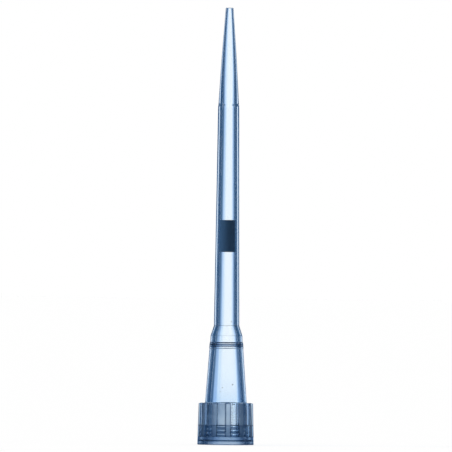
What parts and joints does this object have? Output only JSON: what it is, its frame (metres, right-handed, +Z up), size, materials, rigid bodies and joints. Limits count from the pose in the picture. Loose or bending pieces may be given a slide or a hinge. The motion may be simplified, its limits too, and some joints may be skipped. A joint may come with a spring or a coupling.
{
  "type": "filter pipette tip",
  "caption": "Clear tapered micropipette tip with a ribbed socket collar and a porous barrier plug in its barrel.",
  "frame": {"origin": "centre of the collar's open rim, on the surface that the tip stands on", "axes": "+Z up the tip's axis from the open rim to the point; +X and +Y across it"},
  "size_m": [0.006, 0.006, 0.046],
  "materials": {
    "clear_polypropylene": "clear, slightly blue, smooth as moulded",
    "porous_filter": "dark navy sintered porous plastic, dull"
  },
  "bodies": {
    "root": {"tip_body": "clear_polypropylene", "filter_plug": "porous_filter"}
  },
  "joints": []
}
